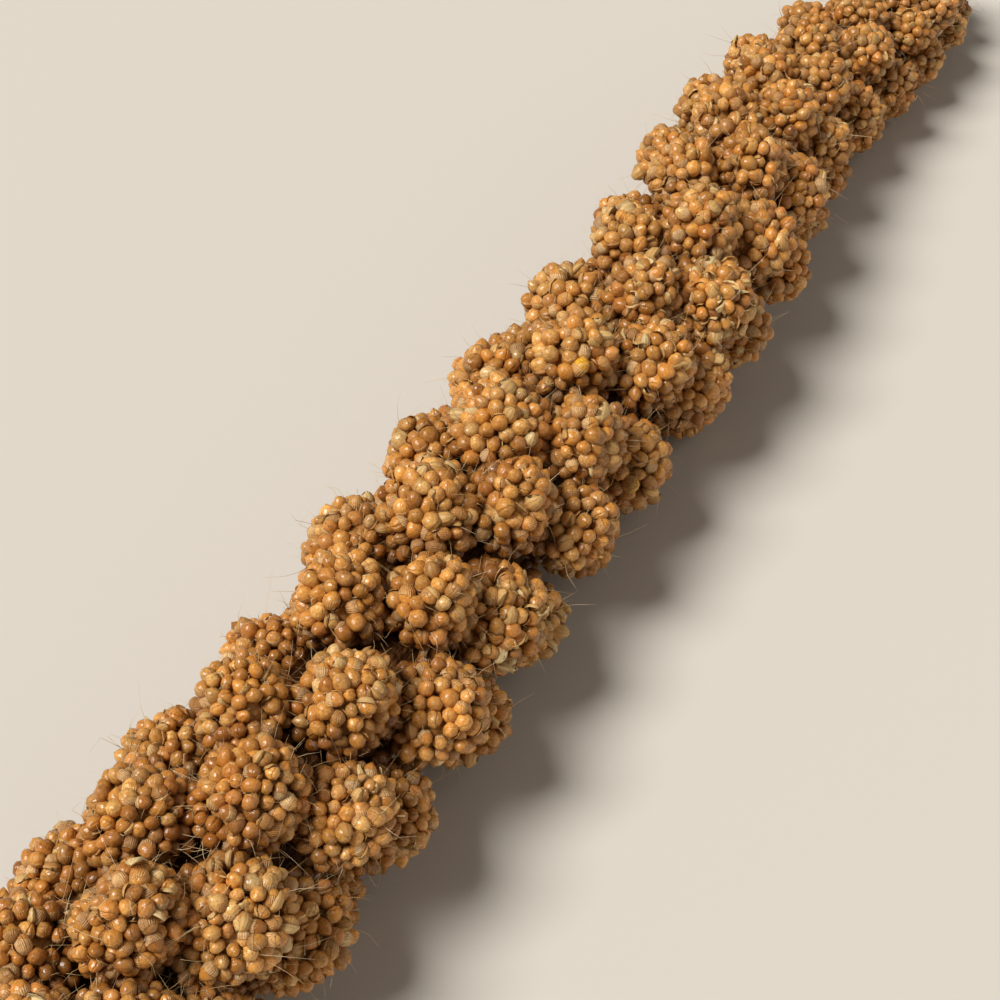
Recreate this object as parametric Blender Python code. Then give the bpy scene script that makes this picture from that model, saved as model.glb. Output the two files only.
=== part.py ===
# Foxtail millet seed head, dried and cut from the plant, lying on its side.
# Metres. +X runs from the cut stem to the tip, +Z is up, and z = 0 is the surface it lies on.

import math
import random

import bmesh
import bpy
import numpy as np
from mathutils.geometry import delaunay_2d_cdt

# Driving sizes
HEAD_LENGTH = 0.2260        # from the lowest branchlets to the tip
HEAD_RADIUS = 0.0134        # over the branchlets, where the head is fullest
TIP_RADIUS = 0.0074         # the same, just short of the blunt tip
STEM_LENGTH = 0.0380        # bare stalk below the head
STEM_RADIUS = 0.0021        # at the cut end
STALK_TIP_RADIUS = 0.0008   # the stalk's far end, deep in the head's tip
STALK_REACH = 0.94          # how far into the head the stalk runs, as a share of the head's length
STALK_GAP = 0.0003          # between the stalk and the branchlets' roots
STALK_SIDES = 10
FLOOR_CUT = 0.0009          # how much of the lowest grains is pressed flat

# The head is plumpest near its lower end and tapers over the last third
BASE_SHARE = 0.76           # radius of the very base, as a share of the full radius
BASE_ROUNDING = 0.030
PLUMP = 0.05
PLUMP_AT = 0.038
PLUMP_SPREAD = 0.022
TAPER_START = 0.142
TAPER_POWER = 1.5

# Branchlets: each one is a ball of grains, and they climb the stalk in a spiral
SEED = 7
DIVERGENCE = math.radians(-135.85)  # turn from one branchlet to the next
RISE = 0.00171                      # climb from one to the next on the full head
PHASE = math.radians(-28)           # angle of the branchlet that is PHASE_AT along the head
PHASE_AT = 0.07375
BALL_LONG = 0.0053                  # half size along the head
BALL_WIDE = 0.0046                  # half size around the head
BALL_DEEP = 0.0056                  # half size outwards
BALL_LEAN = math.radians(18)        # they lean towards the tip
TIP_BALL = 0.0056                   # radius of the last one, on the end of the stalk
FIRST_BALL = 0.0045                 # the lowest one's place
CORE_SHARE = 0.46                   # the branchlets' roots fill the head out to this share of it

# Grains are larger than life, so that each can be a raised six-sided bump
GRAIN_SPACING = 0.0033
GRAIN_PROUD = 0.0003
GRAIN_VALLEY = 0.0009
LEAST_SPACING = 0.62 * GRAIN_SPACING
BASE_MARGIN = 0.0028        # no grain lower than this
TIP_MARGIN = 0.0012
BASE_RING = (0.0066, 14)    # radius and corners of the ring that closes the base
TIP_RING = (0.0016, 8)
TIP_RING_BACK = 0.0004
BASE_HOLLOW = 0.0022        # the base dips this far in around the stalk

# The head's middle line: the box of stem and head together is centred on the origin
HEAD_START = (-0.0940, -0.00074)
SWAY = 0.0034               # sideways bend, growing towards the tip
SWAY_START = 0.145          # where the middle line crosses over
SWAY_HALF_WAVE = 0.043
BASE_SWAY = 0.0040          # sideways bend at the lower end
BASE_SWAY_LENGTH = 0.070
STEM_DROOP = 0.003          # the cut end hangs this much lower


def smooth_step(t):
    t = np.clip(t, 0.0, 1.0)
    return t * t * (3 - 2 * t)


def head_radius(s):
    """Radius over the branchlets at a distance s along the head: rounded base, even middle, blunt taper."""
    base = BASE_SHARE + (1 - BASE_SHARE) * smooth_step(s / BASE_ROUNDING)
    plump = 1 + PLUMP * np.exp(-(((s - PLUMP_AT) / PLUMP_SPREAD) ** 2))
    taper = np.clip((s - TAPER_START) / (HEAD_LENGTH - TAPER_START), 0.0, 1.0) ** TAPER_POWER
    return (HEAD_RADIUS + (TIP_RADIUS - HEAD_RADIUS) * taper) * base * plump


def middle_line(s):
    """Y and Z of the head's middle line: a slight S sideways, and low enough to lie along the surface."""
    t = np.clip(s / HEAD_LENGTH, 0.0, 1.0)
    sway = SWAY * t**2 * np.sin(math.pi * (s - SWAY_START) / SWAY_HALF_WAVE)
    bow = np.clip(1 - s / BASE_SWAY_LENGTH, 0.0, 1.0) ** 2 - 2 * np.minimum(s, 0.0) / BASE_SWAY_LENGTH
    droop = STEM_DROOP * np.clip(-s / STEM_LENGTH, 0.0, None) ** 2
    z = head_radius(np.clip(s, PLUMP_AT, HEAD_LENGTH)) - FLOOR_CUT - droop
    return HEAD_START[1] + sway + BASE_SWAY * bow, z


def bend(vertices):
    """Carries points from a straight head on the X axis to the swaying middle line and its place."""
    y, z = middle_line(vertices[:, 0])
    return vertices + np.stack([np.full(len(y), HEAD_START[0]), y, z], 1)


def ring(s, angle, radius):
    """Points at distances s along a straight head, at angles turned from +Z towards +Y."""
    return np.stack([s, radius * np.sin(angle), radius * np.cos(angle)], -1)


def branchlets():
    """One row per branchlet: place along the head, angle, distance out and the three half sizes."""
    draw = random.Random(SEED)
    turn = -int(PHASE_AT / RISE) - 1
    s = PHASE_AT + turn * RISE
    rows = []
    while s < HEAD_LENGTH - 0.6 * TIP_BALL:
        full = float(head_radius(max(s, 0.0))) / HEAD_RADIUS
        size = full * draw.uniform(0.90, 1.12)
        angle = PHASE + DIVERGENCE * turn + draw.uniform(-0.07, 0.07)
        place = s + draw.uniform(-0.0008, 0.0008)
        out = HEAD_RADIUS * full * draw.uniform(0.96, 1.03) - BALL_DEEP * size
        if place > FIRST_BALL:
            rows.append((place, angle, out, BALL_LONG * size, BALL_WIDE * size, BALL_DEEP * size))
        s += RISE * full
        turn += 1
    rows.append((HEAD_LENGTH - TIP_BALL, 0.0, 0.0, TIP_BALL, TIP_BALL * 0.95, TIP_BALL * 0.95))
    return np.array(rows)


def ball_frames(rows):
    """Centre of every branchlet on the straight head, and its directions along, around and outwards."""
    angle, out = rows[:, 1], rows[:, 2]
    lean = np.where(out > 0, BALL_LEAN, 0.0)[:, None]
    along = np.tile([1.0, 0.0, 0.0], (len(rows), 1))
    radial = ring(np.zeros(len(rows)), angle, 1.0)
    around = ring(np.zeros(len(rows)), angle + math.pi / 2, 1.0)
    outward = radial * np.cos(lean) + along * np.sin(lean)
    forward = along * np.cos(lean) - radial * np.sin(lean)
    return along * rows[:, :1] + radial * out[:, None], np.stack([forward, around, outward], 1)


def ball_depth(points, centre, frames, sizes):
    """How far out each point is in each branchlet, in its own half sizes: under 1 is inside it."""
    offset = points[:, None, :] - centre[None, :, :]
    local = np.einsum("pbc,bac->pba", offset, frames) / sizes[None, :, :]
    return np.sqrt((local**2).sum(axis=2))


def body_radius(s, angle, centre, frames, sizes):
    """Radius of the branchlets' skin without grains: where a ray from the middle line leaves the last ball."""
    toward = np.einsum("pc,bac->pba", ring(np.zeros_like(s), angle, 1.0), frames) / sizes[None, :, :]
    start = ring(s, angle, 0.0)[:, None, :] - centre[None, :, :]
    offset = np.einsum("pbc,bac->pba", start, frames) / sizes[None, :, :]
    a = (toward**2).sum(axis=2)
    b = (toward * offset).sum(axis=2)
    c = (offset**2).sum(axis=2) - 1
    met = b * b - a * c
    leaves = np.where(met > 0, (-b + np.sqrt(np.maximum(met, 0))) / a, 0.0)
    return np.maximum(leaves.max(axis=1), CORE_SHARE * head_radius(s))


def grain_peaks(rows, centre, frames, sizes):
    """Grains set over each ball by a Fibonacci spiral, kept where no other ball or grain covers them."""
    golden = math.pi * (3 - math.sqrt(5))
    kept = np.zeros((0, 3))
    for ball in range(len(rows)):
        area = 4 * math.pi * sizes[ball].prod() ** (2 / 3)
        count = int(area / (0.866 * GRAIN_SPACING**2))
        index = np.arange(count)
        height = 1 - (2 * index + 1) / count
        turn = index * golden + ball * 1.3
        unit = np.stack([np.cos(turn), np.sin(turn), height], 1)
        unit[:, :2] *= np.sqrt(1 - height**2)[:, None]
        if rows[ball, 2] == 0:
            unit = unit[:, [2, 0, 1]]
        points = centre[ball] + (unit * (sizes[ball] + GRAIN_PROUD)) @ frames[ball]
        others = np.delete(ball_depth(points, centre, frames, sizes), ball, axis=1).min(axis=1)
        radius = np.hypot(points[:, 1], points[:, 2])
        normal = (unit / sizes[ball]) @ frames[ball]
        normal /= np.linalg.norm(normal, axis=1)[:, None]
        faces_out = (normal[:, 1] * points[:, 1] + normal[:, 2] * points[:, 2]) / radius > 0.12
        on_head = (points[:, 0] > BASE_MARGIN) & (points[:, 0] < HEAD_LENGTH - TIP_MARGIN)
        clear = (others > 1.02) & (radius > 1.12 * CORE_SHARE * head_radius(points[:, 0]))
        for point in points[faces_out & on_head & clear]:
            if len(kept) == 0 or np.linalg.norm(kept - point, axis=1).min() > LEAST_SPACING:
                kept = np.vstack([kept, point])
    return kept


def unrolled_faces(points, margin=1.2):
    """Delaunay triangles of points wound round the X axis, found on the skin laid flat."""
    angle = np.arctan2(points[:, 1], points[:, 2])
    across = HEAD_RADIUS * 0.85 / GRAIN_SPACING
    flat, source = [], []
    for turn in (-2 * math.pi, 0.0, 2 * math.pi):
        near = np.abs(angle + turn) < math.pi + margin
        flat.append(np.stack([points[near, 0] / GRAIN_SPACING, (angle[near] + turn) * across], 1))
        source.append(np.nonzero(near)[0])
    flat = np.concatenate(flat)
    source = np.concatenate(source)
    found = delaunay_2d_cdt([tuple(p) for p in flat], [], [], 0, 1e-6)
    faces = np.array(found[2])
    origin = np.array([o[0] for o in found[3]])
    middle = flat[origin[faces]].mean(axis=1)[:, 1] / across
    once = (middle >= -math.pi) & (middle < math.pi)
    return source[origin[faces[once]]]


def valley_points(corner, centre, frames, sizes):
    """A point in the middle of every triangle of grains, sunk below the branchlets' skin."""
    s = corner[..., 0].mean(axis=1)
    turn = np.arctan2(corner[..., 1], corner[..., 2])
    angle = np.arctan2(np.sin(turn).mean(axis=1), np.cos(turn).mean(axis=1))
    mean_radius = np.hypot(corner[..., 1], corner[..., 2]).mean(axis=1)
    radius = body_radius(s, angle, centre, frames, sizes) - GRAIN_VALLEY
    return ring(s, angle, np.clip(radius, 0.4 * mean_radius, 0.97 * mean_radius))


def fan(first, count, middle, reverse):
    pairs = [(first + k, first + (k + 1) % count) for k in range(count)]
    return [(b, a, middle) if reverse else (a, b, middle) for a, b in pairs]


def head_mesh():
    """Each grain is a peak ringed by the valleys of the triangles around it; fans close both ends."""
    rows = branchlets()
    centre, frames = ball_frames(rows)
    sizes = rows[:, 3:6]
    peaks = grain_peaks(rows, centre, frames, sizes)
    ends = []
    for s, (radius, corners) in ((0.0, BASE_RING), (HEAD_LENGTH - TIP_RING_BACK, TIP_RING)):
        ends.append(ring(np.full(corners, s), np.arange(corners) * 2 * math.pi / corners, radius))
    points = np.concatenate([peaks, *ends])
    faces = unrolled_faces(points)
    valleys = valley_points(points[faces], centre, frames, sizes)

    side_of = {}
    for number, face in enumerate(faces.tolist()):
        for k in range(3):
            side_of[(face[k], face[(k + 1) % 3])] = number
    triangles = []
    for (a, b), number in side_of.items():
        across = side_of.get((b, a))
        other_corner = b if across is None else len(points) + across
        triangles.append((a, other_corner, len(points) + number))

    caps = [[BASE_HOLLOW, 0, 0], [HEAD_LENGTH, 0, 0]]
    vertices = np.concatenate([points, valleys, caps])
    triangles += fan(len(peaks), BASE_RING[1], len(vertices) - 2, False)
    triangles += fan(len(peaks) + BASE_RING[1], TIP_RING[1], len(vertices) - 1, True)
    return vertices, triangles


def stalk_tube(name, start, end, extra, material, steps):
    """A tapered tube along the head's middle line, closed at both ends."""
    s = np.linspace(start, end, steps)
    share = (s + STEM_LENGTH) / (HEAD_LENGTH * STALK_REACH + STEM_LENGTH)
    radius = STEM_RADIUS + (STALK_TIP_RADIUS - STEM_RADIUS) * share + extra
    angle = np.arange(STALK_SIDES) * 2 * math.pi / STALK_SIDES
    s, radius, angle = np.broadcast_arrays(s[:, None], radius[:, None], angle[None, :])
    vertices = bend(ring(s, angle, radius).reshape(-1, 3))
    faces = []
    for i in range(steps - 1):
        for j in range(STALK_SIDES):
            a = i * STALK_SIDES + j
            b = i * STALK_SIDES + (j + 1) % STALK_SIDES
            faces.append((a, a + STALK_SIDES, b + STALK_SIDES, b))
    faces.append(tuple(range(STALK_SIDES)))
    faces.append(tuple(reversed(range(len(vertices) - STALK_SIDES, len(vertices)))))
    return mesh_object(name, vertices, faces, material)


def mesh_object(name, vertices, faces, material):
    mesh = bpy.data.meshes.new(name)
    mesh.from_pydata([tuple(v) for v in vertices], [], faces)
    shape = bmesh.new()
    shape.from_mesh(mesh)
    bmesh.ops.recalc_face_normals(shape, faces=shape.faces[:])
    shape.to_mesh(mesh)
    shape.free()
    mesh.materials.append(material)
    obj = bpy.data.objects.new(name, mesh)
    bpy.context.scene.collection.objects.link(obj)
    return obj


def space_below(material, depth=0.01, width=0.08):
    """The space below the surface, longer and wider than the head: it presses the lowest grains flat."""
    half = 0.5 * (HEAD_LENGTH + STEM_LENGTH) + depth
    corners = [(x, y, z) for x in (-half, half) for y in (-width / 2, width / 2) for z in (-depth, 0.0)]
    faces = [(0, 1, 3, 2), (4, 6, 7, 5), (0, 4, 5, 1), (2, 3, 7, 6), (0, 2, 6, 4), (1, 5, 7, 3)]
    return mesh_object("space_below", corners, faces, material)


def cut(target, tool, name):
    """Takes the tool's shape out of the target; the tool itself isn't part of the head."""
    tool.hide_render = True
    tool.display_type = "WIRE"
    boolean = target.modifiers.new(name, "BOOLEAN")
    boolean.operation = "DIFFERENCE"
    boolean.solver = "EXACT"
    boolean.object = tool


def plain_material(name, color, roughness):
    made = bpy.data.materials.new(name)
    made.use_nodes = True
    shader = made.node_tree.nodes["Principled BSDF"]
    shader.inputs["Base Color"].default_value = (*color, 1.0)
    shader.inputs["Roughness"].default_value = roughness
    shader.inputs["Metallic"].default_value = 0.0
    return made


def make_seed_head():
    grain = plain_material("grain", (0.60, 0.34, 0.12), 0.45)
    vertices, triangles = head_mesh()
    head = mesh_object("seed_head", bend(vertices), triangles, grain)
    hole_end = HEAD_LENGTH * STALK_REACH + 2 * STALK_GAP
    cut(head, stalk_tube("stalk_hole", -0.010, hole_end, STALK_GAP, grain, 22), "stalk hole")
    cut(head, space_below(grain), "resting flats")


def make_stem():
    straw = plain_material("straw", (0.62, 0.47, 0.24), 0.70)
    stem = stalk_tube("stem", -STEM_LENGTH, HEAD_LENGTH * STALK_REACH, 0.0, straw, 26)
    stem.data.shade_smooth()
    stem.data.set_sharp_from_angle(angle=math.radians(50))


def main():
    for obj in list(bpy.data.objects):
        bpy.data.objects.remove(obj, do_unlink=True)
    make_seed_head()
    make_stem()


main()
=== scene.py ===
# The dried millet head in its finish: grains at their true size, papery husks, bristles and the dry stalk.
import math
import random

import bpy
import numpy as np
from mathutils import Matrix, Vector


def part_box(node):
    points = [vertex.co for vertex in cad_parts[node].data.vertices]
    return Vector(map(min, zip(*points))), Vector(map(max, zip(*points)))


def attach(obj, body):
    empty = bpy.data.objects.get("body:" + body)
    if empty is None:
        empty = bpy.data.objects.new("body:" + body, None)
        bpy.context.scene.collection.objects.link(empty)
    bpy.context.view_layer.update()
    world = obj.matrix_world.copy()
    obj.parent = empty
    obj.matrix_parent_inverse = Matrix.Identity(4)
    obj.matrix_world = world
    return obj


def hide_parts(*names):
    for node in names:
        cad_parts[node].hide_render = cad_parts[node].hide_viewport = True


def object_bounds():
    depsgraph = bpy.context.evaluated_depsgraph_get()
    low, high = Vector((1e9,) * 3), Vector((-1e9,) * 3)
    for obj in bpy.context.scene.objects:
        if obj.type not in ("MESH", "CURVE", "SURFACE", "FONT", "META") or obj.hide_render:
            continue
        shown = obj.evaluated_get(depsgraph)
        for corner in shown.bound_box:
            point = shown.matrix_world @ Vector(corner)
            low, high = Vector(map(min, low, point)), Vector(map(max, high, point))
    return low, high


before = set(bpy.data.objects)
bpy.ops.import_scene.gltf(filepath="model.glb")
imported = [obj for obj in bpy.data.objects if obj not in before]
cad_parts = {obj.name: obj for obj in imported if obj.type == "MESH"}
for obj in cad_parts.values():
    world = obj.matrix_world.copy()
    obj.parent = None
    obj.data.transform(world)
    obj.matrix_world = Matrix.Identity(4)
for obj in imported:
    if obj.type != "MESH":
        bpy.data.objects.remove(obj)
cadBox = [list(corner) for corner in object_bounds()]  # while there are only the solids
headLow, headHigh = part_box("seed_head")
stemLow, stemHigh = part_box("stem")
goldenAngle = math.pi * (3 - math.sqrt(5))
floorGap = 0.00002   # nothing reaches lower than this

# The form that every piece follows, in metres: the rule and the draws of the solids
head = {
    "start": headLow.x,
    "length": headHigh.x - headLow.x,
    "radius": 0.0134,
    "tipRadius": 0.0074,
    "floorCut": 0.0009,
    "baseShare": 0.76,
    "baseRounding": 0.030,
    "plump": 0.05,
    "plumpAt": 0.038,
    "plumpSpread": 0.022,
    "taperStart": 0.142,
    "taperPower": 1.5,
    "middleY": -0.00074,
    "sway": 0.0034,
    "swayStart": 0.145,
    "swayHalfWave": 0.043,
    "baseSway": 0.0040,
    "baseSwayLength": 0.070,
    "stemDroop": 0.003,
}

# The balls of grains on their short branchlets
cluster = {
    "seed": 7,
    "divergence": math.radians(-135.85),
    "rise": 0.00171,
    "phase": math.radians(-28),
    "phaseAt": 0.07375,
    "half": (0.0053, 0.0046, 0.0056),  # along the head, around it, outwards
    "sizes": (0.90, 1.12),             # times the head's own size there
    "lean": math.radians(18),
    "turnError": 0.07,
    "placeError": 0.0008,
    "reaches": (0.96, 1.03),           # of the head's radius
    "first": 0.0045,
    "tipBall": 0.0056,
    "tipGirth": 0.95,                  # of that
    "tipGap": 0.6,                     # of that too, left free by the spiral
}


def smoothStep(t):
    t = np.clip(t, 0.0, 1.0)
    return t * t * (3 - 2 * t)


# Rounded at the base, plumpest a little above it, even in the middle, and a blunt taper to the tip
def headRadius(s):
    base = head["baseShare"] + (1 - head["baseShare"]) * smoothStep(s / head["baseRounding"])
    plump = 1 + head["plump"] * np.exp(-(((s - head["plumpAt"]) / head["plumpSpread"]) ** 2))
    taper = np.clip((s - head["taperStart"]) / (head["length"] - head["taperStart"]), 0.0, 1.0)
    full = head["radius"] + (head["tipRadius"] - head["radius"]) * taper ** head["taperPower"]
    return full * base * plump


# Y is a sine wave that grows towards the tip, plus a parabola at the base; Z is the head's own radius
def middleLine(s):
    t = np.clip(s / head["length"], 0.0, 1.0)
    sway = head["sway"] * t**2 * np.sin(math.pi * (s - head["swayStart"]) / head["swayHalfWave"])
    below = np.minimum(s, 0.0) / head["baseSwayLength"]
    bow = np.clip(1 - s / head["baseSwayLength"], 0.0, 1.0) ** 2 - 2 * below
    droop = head["stemDroop"] * np.clip(s / (stemLow.x - head["start"]), 0.0, None) ** 2
    z = headRadius(np.clip(s, head["plumpAt"], head["length"])) - head["floorCut"] - droop
    return head["middleY"] + sway + head["baseSway"] * bow, z


# Points of the straight head, moved to their place on the swaying one: by the start, and by the middle
# line's y and z at their s
def carried(points):
    y, z = middleLine(points[..., 0])
    return points + np.stack([np.full(y.shape, head["start"]), y, z], -1)


# A point of the straight head, s from its base: y is the radius times the sine of its angle, and z is
# the radius times the cosine
def ringPoint(s, angle, radius):
    return np.stack([s, radius * np.sin(angle), radius * np.cos(angle)], -1)


# A spiral: every cluster is one turn angle further round and one rise further up than the last
def growClusters():
    draw = random.Random(cluster["seed"])
    long, wide, deep = cluster["half"]
    turn = -int(cluster["phaseAt"] / cluster["rise"]) - 1
    s = cluster["phaseAt"] + turn * cluster["rise"]
    rows = []
    while s < head["length"] - cluster["tipGap"] * cluster["tipBall"]:
        full = float(headRadius(max(s, 0.0))) / head["radius"]
        size = full * draw.uniform(*cluster["sizes"])
        angle = cluster["phase"] + cluster["divergence"] * turn
        angle += draw.uniform(-cluster["turnError"], cluster["turnError"])
        place = s + draw.uniform(-cluster["placeError"], cluster["placeError"])
        out = head["radius"] * full * draw.uniform(*cluster["reaches"]) - deep * size
        if place > cluster["first"]:
            rows.append((place, angle, out, long * size, wide * size, deep * size))
        s += cluster["rise"] * full
        turn += 1
    ball = cluster["tipBall"]
    girth = ball * cluster["tipGirth"]
    rows.append((head["length"] - ball, 0.0, 0.0, ball, girth, girth))
    rows = np.array(rows)
    angle, out = rows[:, 1], rows[:, 2]
    lean = np.where(out > 0, cluster["lean"], 0.0)[:, None]
    along = np.tile([1.0, 0.0, 0.0], (len(rows), 1))
    radial = ringPoint(0 * angle, angle, 1.0)
    around = ringPoint(0 * angle, angle + math.pi / 2, 1.0)
    outward = radial * np.cos(lean) + along * np.sin(lean)
    forward = along * np.cos(lean) - radial * np.sin(lean)
    centre = along * rows[:, :1] + radial * out[:, None]
    return centre, np.stack([forward, around, outward], 1), rows[:, 3:6]


clusterCentre, clusterAxes, clusterHalf = growClusters()
print("clusters:", len(clusterCentre))


# Mesh building: copies of one closed grid

# Quads join neighbouring rows, and fans close the first and last rows on the two poles. Each corner's UV
# is its share of the way around and along its copy
def gridLayout(copies, rows, around, heights):
    row, column = np.meshgrid(np.arange(rows - 1), np.arange(around), indexing="ij")
    following = (column + 1) % around
    low, high = row * around, (row + 1) * around
    quads = np.stack([low + column, low + following, high + following, high + column], -1).reshape(-1, 4)
    k = np.arange(around)
    after = (k + 1) % around
    last = (rows - 1) * around
    basePole, tipPole = np.full(around, rows * around), np.full(around, rows * around + 1)
    fans = np.concatenate([np.stack([basePole, after, k], 1), np.stack([tipPole, last + k, last + after], 1)])
    start = (np.arange(copies) * (rows * around + 2))[:, None, None]

    u = np.stack([column, column + 1, column + 1, column], -1).reshape(-1)
    v = np.stack([heights[row], heights[row], heights[row + 1], heights[row + 1]], -1).reshape(-1)
    fanU = np.concatenate([np.stack([k + 0.5, k + 1, k], 1), np.stack([k + 0.5, k, k + 1], 1)]).reshape(-1)
    first, end = np.full(around, heights[0]), np.full(around, heights[-1])
    below, above = np.minimum(first, 0.0), np.full(around, 1.0)
    fanV = np.concatenate([np.stack([below, first, first], 1), np.stack([above, end, end], 1)]).reshape(-1)
    quadUv = np.tile(np.stack([u / around, v], -1), (copies, 1))
    fanUv = np.tile(np.stack([fanU / around, fanV], -1), (copies, 1))
    uv = np.concatenate([quadUv, fanUv])
    return (quads + start).reshape(-1, 4), (fans + start).reshape(-1, 3), uv


def addObject(name, data):
    made = bpy.data.objects.new(name, data)
    bpy.context.scene.collection.objects.link(made)
    return made


# grid: copies x rows x around x 3, poles: copies x 2 x 3, look: four values per copy
def addPiece(name, grid, poles, heights, material, look, nodeName="seed_head"):
    copies, rows, around = grid.shape[:3]
    points = np.concatenate([grid.reshape(copies, -1, 3), poles], axis=1)
    points[..., 2] = np.maximum(points[..., 2], floorGap)
    quads, fans, uv = gridLayout(copies, rows, around, np.array(heights))
    corners = np.concatenate([quads.ravel(), fans.ravel()])
    starts = np.concatenate([np.arange(len(quads)) * 4, len(quads) * 4 + np.arange(len(fans)) * 3])
    mesh = bpy.data.meshes.new(name)
    mesh.vertices.add(copies * points.shape[1])
    mesh.vertices.foreach_set("co", points.reshape(-1).astype(np.float32))
    mesh.loops.add(len(corners))
    mesh.loops.foreach_set("vertex_index", corners.astype(np.int32))
    mesh.polygons.add(len(starts))
    mesh.polygons.foreach_set("loop_start", starts.astype(np.int32))
    mesh.update(calc_edges=True)
    uvLayer = mesh.uv_layers.new(name="wrapped")
    uvLayer.data.foreach_set("uv", uv.reshape(-1))
    lookLayer = mesh.attributes.new("look", "FLOAT_COLOR", "POINT")
    lookLayer.data.foreach_set("color", np.repeat(look, points.shape[1], axis=0).reshape(-1))
    mesh.shade_smooth()
    mesh.materials.append(material)
    piece = addObject(name, mesh)
    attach(piece, "root")
    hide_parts(nodeName)
    print(name, "triangles:", len(quads) * 2 + len(fans))
    return piece


# Three directions at right angles for every copy, the last one along its axis, turned at random about it
def framesAlong(axis, twist):
    helper = np.where(np.abs(axis[:, :1]) < 0.8, [[1.0, 0.0, 0.0]], [[0.0, 1.0, 0.0]])
    side = np.cross(helper, axis)
    side /= np.linalg.norm(side, axis=1)[:, None]
    across = np.cross(axis, side)
    turned = side * np.cos(twist)[:, None] + across * np.sin(twist)[:, None]
    return np.stack([turned, np.cross(axis, turned), axis], 1)


# A circle round each third axis: the cosine times the first direction plus the sine times the second
def circlesRound(axes, turn):
    return np.cos(turn)[None, :, None] * axes[:, :1] + np.sin(turn)[None, :, None] * axes[:, 1:2]


def evenTurns(count):
    return np.arange(count) * 2 * math.pi / count


def unitRows(vectors):
    return vectors / np.linalg.norm(vectors, axis=-1, keepdims=True)


# Local points times their copy's three axes, moved to the copy's place
def placed(grid, ends, axes, place):
    grid = np.einsum("nrax,nxk->nrak", grid, axes) + place[:, None, None, :]
    return grid, np.einsum("npx,nxk->npk", ends, axes) + place[:, None, :]


# Copies that would reach below the floor are moved straight up into the head
def pressUp(grid, ends, lowest):
    lift = np.maximum(floorGap - lowest, 0.0)
    grid[..., 2] += lift[:, None, None]
    ends[..., 2] += lift[:, None]


# Shader helpers

# A socket takes a link from another socket, or else a plain value
def feed(tree, socket, value):
    if isinstance(value, bpy.types.NodeSocket):
        tree.links.new(value, socket)
    else:
        socket.default_value = value


def addNode(tree, kind, inputs=None, **settings):
    made = tree.nodes.new("ShaderNode" + kind)
    for name, value in settings.items():
        setattr(made, name, value)
    for name, value in (inputs or {}).items():
        feed(tree, made.inputs[name], value)
    return made


def maths(tree, operation, *values):
    return addNode(tree, "Math", dict(enumerate(values)), operation=operation).outputs[0]


def times(tree, first, second):
    return maths(tree, "MULTIPLY", first, second)


def timesPlus(tree, first, second, third):
    return maths(tree, "MULTIPLY_ADD", first, second, third)


# Another random value out of one: what a multiple of it has after its decimal point
def reshuffled(tree, value, multiple):
    return maths(tree, "FRACT", times(tree, value, multiple))


# Linear step between two values, from 0 to 1 unless it is told otherwise
def fade(tree, value, low, high, toLow=0.0, toHigh=1.0):
    values = {"Value": value, "From Min": low, "From Max": high, "To Min": toLow, "To Max": toHigh}
    return addNode(tree, "MapRange", values).outputs["Result"]


def mix(tree, factor, first, second, blend="MIX"):
    mixed = addNode(tree, "Mix", data_type="RGBA", blend_type=blend)
    feed(tree, mixed.inputs[0], factor)
    for number, value in ((6, first), (7, second)):
        feed(tree, mixed.inputs[number], (*value, 1.0) if isinstance(value, tuple) else value)
    return mixed.outputs[2]


def colourRamp(tree, factor, stops):
    ramp = addNode(tree, "ValToRGB", {"Fac": factor})
    elements = ramp.color_ramp.elements
    while len(elements) < len(stops):
        elements.new(0.5)
    for element, (position, colour) in zip(elements, stops):
        element.position = position
        element.color = (*colour, 1.0)
    return ramp.outputs["Color"]


def noise(tree, vector, scale, detail, distortion=0.0):
    values = {"Vector": vector, "Scale": scale, "Detail": detail, "Distortion": distortion}
    return addNode(tree, "TexNoise", values).outputs["Fac"]


# Its sockets hold single values, except the one named Vector
def newGroup(name, inputs, outputs):
    group = bpy.data.node_groups.new(name, "ShaderNodeTree")
    for direction, socketNames in (("INPUT", inputs), ("OUTPUT", outputs)):
        for socketName in socketNames:
            kind = "NodeSocketVector" if socketName == "Vector" else "NodeSocketFloat"
            group.interface.new_socket(socketName, in_out=direction, socket_type=kind)
    return group, group.nodes.new("NodeGroupInput"), group.nodes.new("NodeGroupOutput")


# Blotches and a finer mottling over them, as on any dry husk or straw
def buildDryMottle():
    inputs, outputs = ("Vector", "Scale", "Fine"), ("Blotch", "Speck", "Height")
    group, given, result = newGroup("dry mottle", inputs, outputs)
    vector = given.outputs["Vector"]
    blotch = noise(group, vector, given.outputs["Scale"], 2.0)
    speck = noise(group, vector, given.outputs["Fine"], 1.0)
    feed(group, result.inputs["Blotch"], fade(group, blotch, 0.35, 0.65))
    feed(group, result.inputs["Speck"], fade(group, speck, 0.4, 0.7))
    feed(group, result.inputs["Height"], timesPlus(group, speck, 0.4, blotch))
    return group


# Fine ribs that run from base to tip: a cosine of the way around
def buildRibs():
    group, given, result = newGroup("lengthwise ribs", ("Around", "Count"), ("Rib",))
    turns = times(group, given.outputs["Around"], given.outputs["Count"])
    wave = maths(group, "COSINE", times(group, turns, 2 * math.pi))
    feed(group, result.inputs["Rib"], fade(group, wave, -1.0, 1.0))
    return group


dryMottle = buildDryMottle()
ribs = buildRibs()


def placeGroup(tree, group, **inputs):
    made = tree.nodes.new("ShaderNodeGroup")
    made.node_tree = group
    for name, value in inputs.items():
        feed(tree, made.inputs[name], value)
    return made.outputs


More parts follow.
